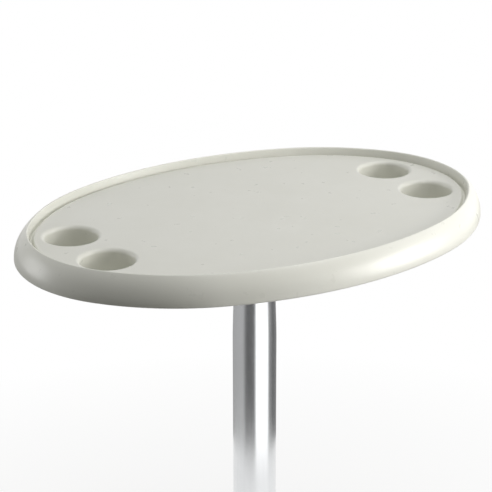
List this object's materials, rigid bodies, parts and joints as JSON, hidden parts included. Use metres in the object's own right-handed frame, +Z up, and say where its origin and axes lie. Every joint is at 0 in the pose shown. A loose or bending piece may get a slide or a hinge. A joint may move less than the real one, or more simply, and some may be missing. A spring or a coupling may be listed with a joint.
{
  "type": "oval pedestal table",
  "caption": "Oval moulded table top with a raised rim, a gutter and round cup wells, carried by a tapered round post between flanged sockets.",
  "frame": {"origin": "centre of the floor flange's underside, on the axis of the post", "axes": "+Z up along the post, +X along the length of the oval top, +Y across it"},
  "size_m": [0.7118, 0.492, 0.7203],
  "materials": {
    "moulded_top": "smooth ivory white moulding with a soft gloss",
    "post_tube": "satin anodised",
    "cast_socket": "fine satin casting",
    "liner": "dull grey",
    "screw": "plain stainless",
    "insert": "turned"
  },
  "bodies": {
    "root": {"table_top": "moulded_top", "top_socket": "cast_socket", "top_liner": "liner", "pedestal_tube": "post_tube", "floor_liner": "liner", "floor_socket": "cast_socket", "screw_1": "screw", "screw_2": "screw", "screw_3": "screw", "screw_4": "screw", "screw_5": "screw", "screw_6": "screw", "insert_1": "insert", "insert_2": "insert", "insert_3": "insert", "insert_4": "insert", "insert_5": "insert", "insert_6": "insert"}
  },
  "joints": []
}
